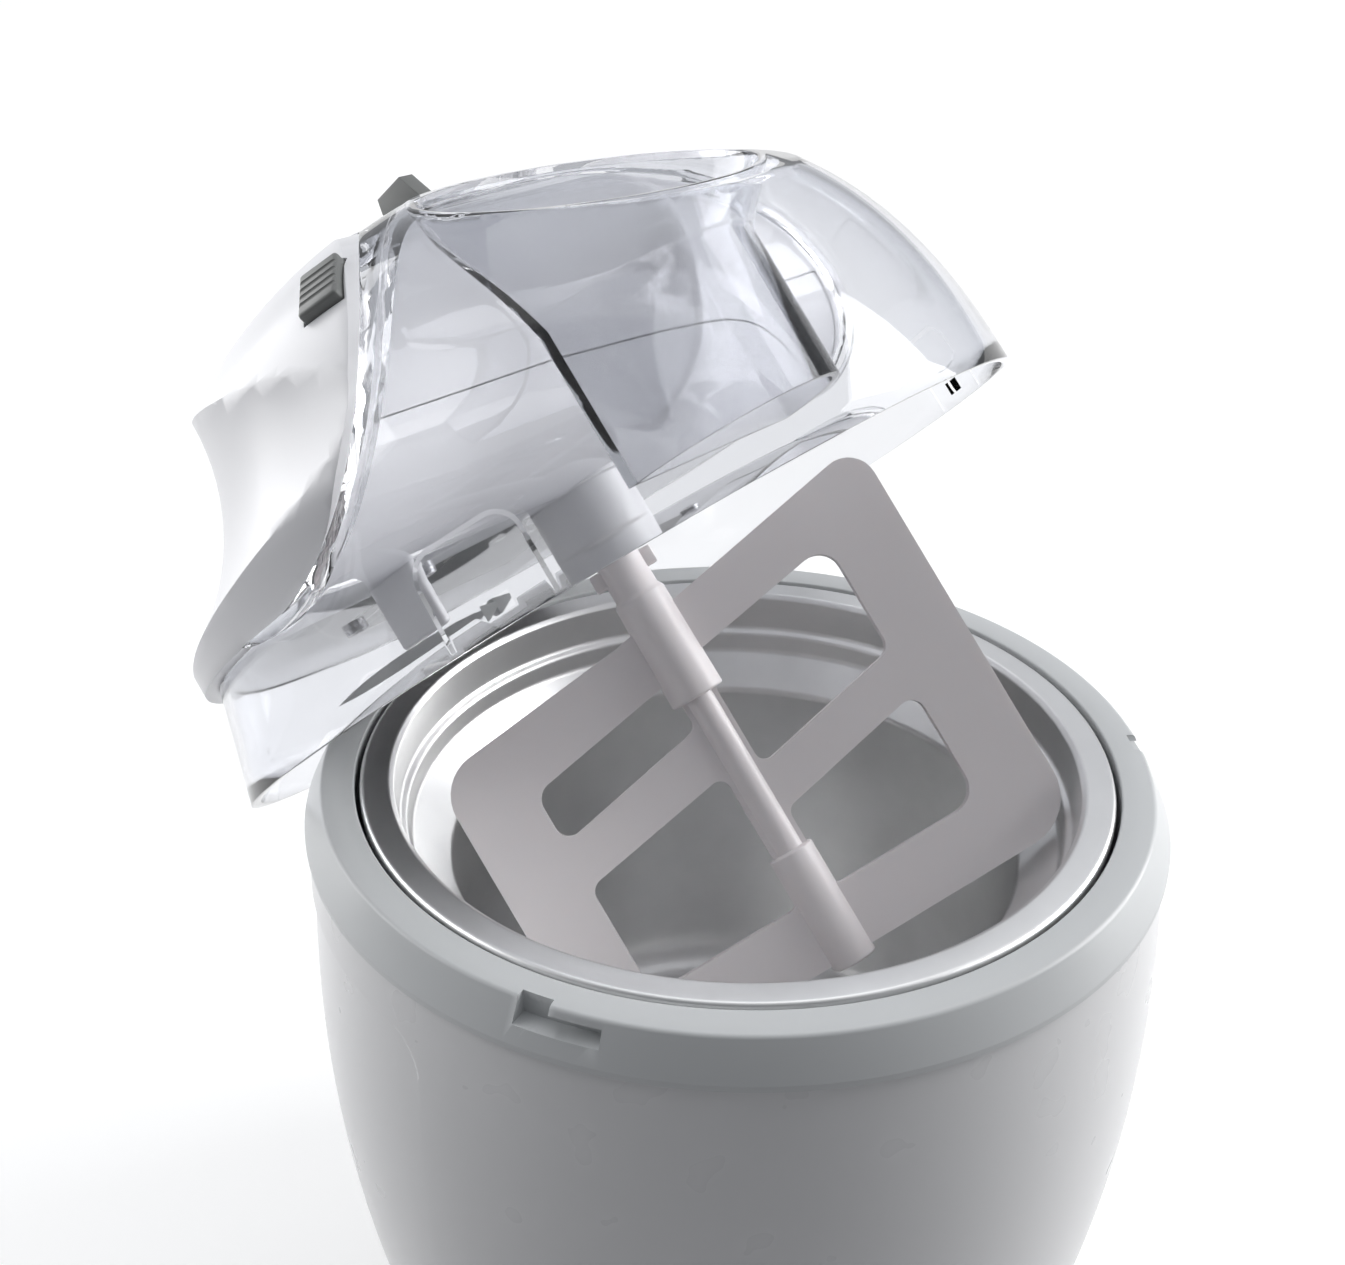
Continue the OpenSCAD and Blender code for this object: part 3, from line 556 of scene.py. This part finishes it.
def liner():
    """Spun liner: rolled rim, three soft ledges and a round-cornered floor."""
    first, second, third = LEDGES
    inner = [(0, -BOWL_DEPTH, 0), (CHAMBER_R - 0.5, -BOWL_DEPTH, 12), (CHAMBER_R, -third - 1.5, 3),
             (MOUTH_R - 3.5, -second, 2.6), (MOUTH_R - 2.8, -first - 1.2, 1.5),
             (MOUTH_R - 0.8, -first, 1.6), (MOUTH_R, -1.2, 1.0)]
    rim = [(MOUTH_R + 1.4, 0, 1.4), (RIM_R, 0, 1.5), (RIM_R, -3.8, 0.7), (RIM_R - 1.3, -3.8, 0),
           (RIM_R - 1.3, -1.6, 0), (MOUTH_R + LINER_T, -1.6, 0)]
    back = [(x + LINER_T, z - LINER_T, 0) for x, z, _ in reversed(inner[1:-1])]
    outline = fillet(inner + rim + back + [(0, -BOWL_DEPTH - LINER_T, 0)], 8)
    shell = revolve("bowl_liner_spun", outline, ON_RIM, 192)
    return show(shell, ALUMINIUM, "body", "bowl_liner", slot="bowl_metal", angle=40)


housing()
collar()
liner()


# ---- lid and motor unit, in the head frame: origin at the rim's centre, chute towards -Y ----

LID_R, LID_H, LID_POWER, LID_WALL = 112.3, 110.6, 2.34, 2.2
DRUM_R, DRUM_FWD, DRUM_Z = 39.0, 6.0, 68.0
UNIT_LOW = DRUM_Z - DRUM_R
UNIT_R, UNIT_PROUD, UNIT_WALL, SEAM_Z = 108.5, 2.0, 2.2, 53.0
SCOOP_FWD, SCOOP_Z, SCOOP_MAJOR, SCOOP_MINOR = 18.0, 90.0, 153.0, 65.0
TUBE_R, TUBE_FWD, TUBE_LOW, FLARE_Z = 31.0, 50.0, 17.0, 58.0
MOUTH_FWD, MOUTH_Z, MOUTH_TILT = 57.0, 88.5, 33.0
MOUTH_HALF = (50.0, 37.0)
KNOB_Y, KNOB_Z = 0.0, 113.0
BOSS_LOW, BOSS_R, BUSH_R = 14.0, 14.0, 7.0
SKIRT_TOP_R = 104.8
DOME_STEPS = 56
PIP_ANGLES = (60, 180, 300)
UNIT_GAP, FLANGE_T = 0.35, 4.5
CHUTE_BACK, MOUTH_SPARE, FLARE_EASE, FLARE_STEPS = 3.2, 3, 0.35, 10
BUTTON_AT, BUTTON_TURN, BUTTON_TILT = (73, -34, 87.5), -25, -49
SCREW_PLACES = ((-50, 12), (50, 12), (-46, 50), (46, 50))
KNOB_HOLE_R, CORD_HOLE_R, SCREW_HOLE_R = 3.4, 5.1, 1.7
TAB_X, TAB_HALF_T = 68, 1.5


def dome_profile(inset, low=0.0, limit=None):
    """Closed half outline of the dome, from the axis out to the rim and up to the pole."""
    points = [(0, low)]
    for i in range(DOME_STEPS + 1):
        t = math.pi / 2 * i / DOME_STEPS
        r = (LID_R - inset) * math.cos(t) ** (2 / LID_POWER)
        z = (LID_H - inset) * math.sin(t) ** (2 / LID_POWER)
        points.append((min(r, limit) if limit else r, z if i else low))
    points[-1] = (0, LID_H - inset)
    return points


def skirt(x, y, z):
    """Draws the dome's rear skirt in to a cone below the motor unit."""
    radius = math.hypot(x, y)
    if radius < 60 or z > UNIT_LOW + 14:
        return x, y, z
    behind = smooth(-52, -8, y)
    cone = 1 - (LID_R - SKIRT_TOP_R) / LID_R * max(z, 0) / UNIT_LOW
    full = (1 - (max(z, 0) / LID_H) ** LID_POWER) ** (1 / LID_POWER)
    k = 1 + (min(cone / full, 1) - 1) * behind * (1 - smooth(UNIT_LOW + 1, UNIT_LOW + 12, z))
    return x * k, y * k, z


def dome(name, inset, low=0.0, limit=None, warp=None):
    """Solid dome, its surface moved in by the inset."""
    return revolve(name, dome_profile(inset, low, limit), HEAD, warp=warp)


def drum(name, radius):
    """Cylinder lying across the head, on the axis of the motor unit's rounded front."""
    place = HEAD @ shift(-150, -DRUM_FWD, DRUM_Z) @ turn("Y", 90)
    return rod(name, radius, 300, place, 160)


def unit_zone(name, grow):
    """Cutter for everything behind the drum's rounded front and above its lowest level."""
    front = drum(name, DRUM_R + grow)
    back = block("zone_back", (-149, -DRUM_FWD - grow, UNIT_LOW - grow), (149, 190, UNIT_LOW + 120), HEAD)
    return combine(front, "UNION", back)


def chute_solid(name, grow, low, steps=96):
    """Tube that flares into a funnel, with a back that follows the drum."""
    levels = [(low, 0.0)] + [(FLARE_Z, i / FLARE_STEPS) for i in range(FLARE_STEPS + 1)]
    mouth = shift(0, -MOUTH_FWD, MOUTH_Z) @ turn("X", MOUTH_TILT) @ shift(0, 0, MOUTH_SPARE)
    half_x, half_y = MOUTH_HALF[0] + grow, MOUTH_HALF[1] + grow
    r = TUBE_R + grow
    verts = [(0, -TUBE_FWD, low)]
    for z, t in levels:
        ease = smooth(0, 1, t) * FLARE_EASE + t * (1 - FLARE_EASE)
        for k in range(steps):
            a = 2 * math.pi * k / steps
            base = Vector((r * math.cos(a), r * math.sin(a) - TUBE_FWD, z))
            flare = mouth @ Vector((half_x * math.cos(a), half_y * math.sin(a), 0))
            bend = base.lerp(flare, t)
            bend.x = base.x + (flare.x - base.x) * ease
            verts.append(tuple(bend))
    verts.append(tuple(mouth @ Vector((0, 0, 0))))
    faces = [tuple(1 + v for v in face) for face in grid_faces(len(levels), steps)]
    pole, last = len(verts) - 1, 1 + (len(levels) - 1) * steps
    for k in range(steps):
        j = (k + 1) % steps
        faces.append((0, 1 + j, 1 + k))
        faces.append((pole, last + k, last + j))
    form = new_object(name, verts, faces, HEAD)
    back = CHUTE_BACK - grow
    combine(form, "DIFFERENCE", drum("drum_cut", DRUM_R + back))
    flat = block("flat_cut", (-100, -DRUM_FWD - DRUM_R - back, -50), (100, 90, DRUM_Z), HEAD)
    return combine(form, "DIFFERENCE", flat)


ARCH_HALF, ARCH_H, ARCH_CORNER = 13.0, 22.0, 6.0
LINE_HALF, LINE_SUNK, LINE_PROUD = 0.55, -1.0, 0.35


def arch_ridge(azimuth):
    """Fine raised line in the shape of an arch, over a pip on the outside of the skirt."""
    path = fillet([(-ARCH_HALF, 1, 0), (-ARCH_HALF, ARCH_H, ARCH_CORNER),
                   (ARCH_HALF, ARCH_H, ARCH_CORNER), (ARCH_HALF, 1, 0)], 8)
    verts = []
    for i, (beside, up) in enumerate(path):
        back, ahead = Vector(path[max(i - 1, 0)]), Vector(path[min(i + 1, len(path) - 1)])
        side = (ahead - back).normalized().orthogonal() * LINE_HALF
        for k, depth in ((-1, LINE_SUNK), (1, LINE_SUNK), (1, LINE_PROUD), (-1, LINE_PROUD)):
            wide, z = beside + k * side.x, max(up + k * side.y, 0.2)
            a = math.radians(azimuth - 90) + wide / LID_R
            radius = LID_R * (1 - (z / LID_H) ** LID_POWER) ** (1 / LID_POWER)
            x, y, z = skirt(radius * math.cos(a), radius * math.sin(a), z)
            grow = 1 + depth / math.hypot(x, y)
            verts.append((x * grow, y * grow, z))
    rows = len(path)
    faces = grid_faces(rows, 4) + [(0, 1, 2, 3), tuple(4 * rows - 4 + k for k in (3, 2, 1, 0))]
    return new_object("arch_line", verts, faces, HEAD)


def lid():
    """Dome with its chute, open where the motor unit sits, with pips and arch lines at the rim."""
    shell = dome("lid_dome", 0, warp=skirt)
    combine(shell, "DIFFERENCE", dome("lid_hollow", LID_WALL, -3, warp=skirt))
    strip = dome("flange_strip", 0.02)
    combine(strip, "DIFFERENCE", dome("strip_hollow", FLANGE_T, -3))
    combine(strip, "INTERSECT", drum("strip_reach", DRUM_R + 3))
    combine(shell, "UNION", strip)
    chute = chute_solid("chute_outer", LID_WALL, TUBE_LOW)
    combine(chute, "INTERSECT", dome("chute_limit", -0.3))
    combine(shell, "UNION", chute)
    combine(shell, "DIFFERENCE", chute_solid("chute_inner", 0, TUBE_LOW - 1))
    combine(shell, "DIFFERENCE", unit_zone("lid_cut", UNIT_GAP))
    slab = block("mouth_cut", (-90, -70, 0), (90, 70, 60),
                 HEAD @ shift(0, -MOUTH_FWD, MOUTH_Z) @ turn("X", MOUTH_TILT))
    combine(shell, "DIFFERENCE", slab)
    for azimuth in PIP_ANGLES:
        face = HEAD @ turn("Z", azimuth)
        pip = block("pip", (-3.5, -LID_R + 1.6, 3), (3.5, -LID_R + 4.2, 6.6), face)
        combine(shell, "UNION", pip)
        combine(shell, "UNION", arch_ridge(azimuth))
    clean(shell, 0.02)
    soften(shell, 0.45, 48, 2)
    return show(shell, CLEAR, "body", "lid_shell", slot="clear_plastic", angle=38)


def unit_solid(name, inset):
    """The motor unit's outer form, with its scooped back, moved in by the inset."""
    form = dome(name, inset - UNIT_PROUD, 0, UNIT_R - inset)
    combine(form, "INTERSECT", unit_zone("unit_reach", -inset))
    minor, steps = SCOOP_MINOR + inset, 96
    profile = []
    for i in range(steps):
        a = 2 * math.pi * i / steps
        profile.append((SCOOP_MAJOR + minor * math.cos(a), minor * math.sin(a)))
    scoop = revolve("scoop", profile, HEAD @ shift(0, -SCOOP_FWD, SCOOP_Z), 192)
    return combine(form, "DIFFERENCE", scoop)


def unit_shell(name):
    """The motor unit's form, hollowed out."""
    return combine(unit_solid(name, 0), "DIFFERENCE", unit_solid("unit_hollow", UNIT_WALL))


def base_zone(gap):
    """Where the unit's base cover is: the front below the seam, and the floor."""
    zone = block("zone_front", (-150, -DRUM_FWD - DRUM_R - 1, 0), (150, gap - DRUM_FWD, SEAM_Z + gap), HEAD)
    floor = block("zone_floor", (-150, -DRUM_FWD - 1, -1), (150, 190, UNIT_LOW + UNIT_WALL + gap), HEAD)
    combine(zone, "UNION", floor)
    return combine(zone, "INTERSECT", dome("zone_dome", 7 - gap, -2))


def button_place(side):
    """Where a button sits in the cover: side 0 is the right-hand one, side 1 its mirror image."""
    flip = Matrix.Diagonal((-1 if side else 1, 1, 1, 1))
    return HEAD @ flip @ shift(*BUTTON_AT) @ turn("Z", BUTTON_TURN) @ turn("Y", BUTTON_TILT)


def motor_top():
    """Top cover, with the openings for the buttons, the knob and the lead."""
    top = combine(unit_shell("unit_top"), "DIFFERENCE", base_zone(UNIT_GAP))
    for side in (0, 1):
        hole = block("button_hole", (-20, -5.9, -8.9), (12, 5.9, 8.9), button_place(side))
        combine(top, "DIFFERENCE", hole)
    combine(top, "DIFFERENCE", rod("knob_hole", KNOB_HOLE_R, 40, HEAD @ shift(0, KNOB_Y, 90)))
    cord_place = HEAD @ shift(0, 70, 42) @ turn("X", -90)
    combine(top, "DIFFERENCE", rod("cord_hole", CORD_HOLE_R, 40, cord_place))
    clean(top, 0.02)
    soften(top, 0.5, 40, 3)
    return show(top, UNIT_WHITE, "body", "motor_top_cover", slot="white_shell", angle=36)


def motor_base():
    """Base cover, with the drive boss, the screw holes and a tab on each side."""
    low = combine(unit_shell("unit_floor"), "INTERSECT", base_zone(0))
    boss = [(0, BOSS_LOW, 0), (BOSS_R, BOSS_LOW, 1.2), (BOSS_R, UNIT_LOW, 0.6), (BOSS_R + 2, UNIT_LOW, 0),
            (BOSS_R + 2, UNIT_LOW + 1.5, 0), (0, UNIT_LOW + 1.5, 0)]
    combine(low, "UNION", revolve("boss", fillet(boss), HEAD, 96))
    combine(low, "DIFFERENCE", rod("boss_bore", BUSH_R + 0.05, 30, HEAD @ shift(0, 0, BOSS_LOW - 1)))
    for x, y in SCREW_PLACES:
        hole = rod("screw_hole", SCREW_HOLE_R, 6, HEAD @ shift(x, y, UNIT_LOW - 1), 32)
        combine(low, "DIFFERENCE", hole)
    for side in (-1, 1):
        x = side * TAB_X
        tab = block("tab", (x - TAB_HALF_T, -8, 12), (x + TAB_HALF_T, 10, UNIT_LOW + 1), HEAD)
        combine(low, "UNION", soften(tab, 1.2, 50, 3))
    clean(low, 0.02)
    return show(low, UNIT_WHITE, "body", "motor_base_cover", slot="white_shell", angle=36)


PADDLE_W, PADDLE_LOW, BLADE_T, ARM_W, PADDLE_TURN = 70.0, 111.0, 4.0, 20.5, -43.5


def paddle():
    """Flat blade with two stepped windows on each side, on a stepped hub."""
    place = HEAD @ turn("Z", PADDLE_TURN)
    flat = place @ turn("X", 90)
    bar, low = PADDLE_W - ARM_W, 17.5 - PADDLE_LOW
    outline = fillet([(-PADDLE_W, -17.5, 12), (-12, -11.5, 3), (12, -7, 3), (PADDLE_W, 3.5, 8),
                      (PADDLE_W, -PADDLE_LOW, 14), (-PADDLE_W, -PADDLE_LOW, 14)], 8)
    blade = prism("paddle_blade", outline, -BLADE_T / 2, BLADE_T / 2, flat)
    for window in (((5, -23, 3), (bar, -15.5, 6), (bar, -48, 4), (5, -57, 3)),
                   ((5, -70, 3), (bar, -61, 4), (bar, low, 7), (5, low, 3)),
                   ((-5, -26, 3), (-5, -40, 3), (-bar, -48.5, 4), (-bar, -33.5, 5)),
                   ((-5, -54, 3), (-5, low, 3), (-bar, low, 7), (-bar, -61.5, 4))):
        combine(blade, "DIFFERENCE", prism("window", fillet(window, 7), -9, 9, flat))
    soften(blade, 0.9, 60, 3)
    axle = fillet([(0, -113, 0), (6.3, -113, 0.8), (6.3, -80, 0.5), (4.2, -79.6, 0), (4.2, -33.2, 0),
                   (7.5, -33, 0.7), (7.2, -3, 1.2), (6.2, -1.5, 0), (6.2, 12.5, 0.6), (0, 12.5, 0)])
    combine(blade, "UNION", revolve("axle", axle, place, 96))
    for side in (-1, 1):
        lug = block("lug", (side * 7 - 2, -2, 3), (side * 7 + 2, 2, 8), place)
        combine(blade, "UNION", soften(lug, 0.5, 50, 2))
    combine(blade, "DIFFERENCE", block("socket", (-3.3, -3.3, -2.3), (3.3, 3.3, 17.7), HEAD))
    return show(clean(blade), PADDLE, "paddle_drive", "paddle", slot="paddle_plastic", angle=34)


def knob():
    """Round flange with a finger grip across it."""
    fin = prism("knob_grip", [(-8.5, 2), (8.5, 2), (6, 10.5), (-5, 10.5)], -2.5, 2.5,
                HEAD @ shift(0, KNOB_Y, KNOB_Z) @ turn("Z", 90) @ turn("X", 90))
    combine(fin, "INTERSECT", rod("grip_reach", 8.45, 14, HEAD @ shift(0, KNOB_Y, KNOB_Z)))
    soften(fin, 0.9, 40, 3)
    flange = fillet([(0, -4.3, 0), (3.1, -4.3, 0.4), (3.1, 0, 0), (8.5, 0, 0.3), (8.5, 2.4, 1.0),
                     (0, 2.8, 0)])
    combine(fin, "UNION", revolve("flange", flange, HEAD @ shift(0, KNOB_Y, KNOB_Z), 96))
    return show(clean(fin), DARK_GREY, "knob", "switch_knob", slot="grey_plastic", angle=36)


def button(side, name):
    """Release button with four grooves across its face."""
    place = button_place(side)
    cap = block(name + "_cap", (-9, -5.5, -8.5), (2.5, 5.5, 8.5), place)
    soften(cap, 1.0, 50, 3)
    combine(cap, "DIFFERENCE", rod("spring_hole", 3.6, 7.2, place @ shift(-10, 0, 0) @ turn("Y", 90)))
    for z in (-4.5, -1.5, 1.5, 4.5):
        groove = rod("groove", 0.9, 14, place @ shift(2.9, -7, z) @ turn("X", -90), 24)
        combine(cap, "DIFFERENCE", groove)
    return show(clean(cap), DARK_GREY, name, "release_" + name, slot="grey_plastic", angle=36)


lid()
motor_top()
motor_base()
paddle()
knob()
button(0, "button_right")
button(1, "button_left")


# ---- floor and light ----

bpy.context.scene.view_settings.view_transform = "Standard"


FLOOR_HALF = 8.0
FLOOR_GLOW, FLOOR_FADE = (0.42, 0.8), (0.6, 2.6)      # glow near and far, and between which distances
FLOOR_BOUNCE = (0.22, 0.22, 0.23)


def add_floor():
    """Pale floor that glows more with distance and scatters little light back onto the object."""
    mesh = bpy.data.meshes.new("floor")
    half = FLOOR_HALF
    mesh.from_pydata([(-half, -half, 0), (half, -half, 0), (half, half, 0), (-half, half, 0)], [],
                     [(0, 1, 2, 3)])
    floor = bpy.data.objects.new("floor", mesh)
    bpy.context.scene.collection.objects.link(floor)
    s = Shader("floor_white")
    s.tint(s.spread(s.noise(3, 2), 0, 1), (0.62, 0.62, 0.62), (0.64, 0.64, 0.64))
    s.set(Roughness=0.9)
    away = s.node("ShaderNodeVectorMath", operation="LENGTH")
    s.join(s.place, away.inputs[0])
    glow = s.spread(away.outputs["Value"], *FLOOR_GLOW, *FLOOR_FADE)
    s.join(glow, s.bsdf.inputs["Emission Strength"])
    s.bsdf.inputs["Emission Color"].default_value = (1, 1, 1, 1)
    dim = s.node("ShaderNodeBsdfDiffuse")
    dim.inputs["Color"].default_value = (*FLOOR_BOUNCE, 1)
    path = s.node("ShaderNodeLightPath")
    mix = s.node("ShaderNodeMixShader")
    s.join(path.outputs["Is Diffuse Ray"], mix.inputs[0])
    s.join(s.bsdf.outputs[0], mix.inputs[1])
    s.join(dim.outputs[0], mix.inputs[2])
    s.join(mix.outputs[0], s.tree.nodes["Material Output"].inputs["Surface"])
    mesh.materials.append(s.material)


SIGHT = (CAMERA_TO - CAMERA_AT).xy.normalized()
CENTRE = Vector((0, 0, 0.2))
WORLD = (0.78, 0.80, 0.84, 1)
WORLD_STRENGTH, WORLD_FADE = (0.10, 0.68), (-0.7, 0.9)
WORLD_UP = 0.6

# name, metres to the picture's right, metres behind, height, size, watts
LIGHTS = (("right", 1.4, 0.35, 0.75, (0.9, 1.3), 24), ("left", -1.35, 0.75, 0.55, (1.1, 1.1), 12),
          ("top", 0.0, 0.5, 1.75, (1.5, 1.3), 5), ("fill", -0.6, -0.05, 0.5, (0.3, 0.3), 0.8))


def add_lights():
    """World that brightens away from the camera and looks pale to it, and the four area lights."""
    world = bpy.data.worlds.new("studio")
    bpy.context.scene.world = world
    world.use_nodes = True
    nodes, links = world.node_tree.nodes, world.node_tree.links
    nodes["Background"].inputs["Color"].default_value = WORLD
    toward = nodes.new("ShaderNodeVectorMath")
    toward.operation = "DOT_PRODUCT"
    links.new(nodes.new("ShaderNodeTexCoord").outputs["Generated"], toward.inputs[0])
    toward.inputs[1].default_value = Vector((SIGHT.x, SIGHT.y, WORLD_UP)).normalized()
    fade = nodes.new("ShaderNodeMapRange")
    links.new(toward.outputs["Value"], fade.inputs["Value"])
    for key, number in zip(("From Min", "From Max", "To Min", "To Max"), (*WORLD_FADE, *WORLD_STRENGTH)):
        fade.inputs[key].default_value = number
    seen = nodes.new("ShaderNodeMath")
    seen.operation = "MAXIMUM"
    links.new(fade.outputs["Result"], seen.inputs[0])
    path = nodes.new("ShaderNodeLightPath")
    links.new(path.outputs["Is Camera Ray"], seen.inputs[1])
    links.new(seen.outputs[0], nodes["Background"].inputs["Strength"])
    for name, right, behind, height, size, power in LIGHTS:
        data = bpy.data.lights.new(name, "AREA")
        data.shape = "RECTANGLE"
        data.size, data.size_y = size
        data.energy = power
        lamp = bpy.data.objects.new(name, data)
        bpy.context.scene.collection.objects.link(lamp)
        lamp.location = (SIGHT.y * right + SIGHT.x * behind, SIGHT.y * behind - SIGHT.x * right, height)
        lamp.rotation_euler = (CENTRE - lamp.location).to_track_quat("-Z", "Y").to_euler()


add_floor()
add_lights()
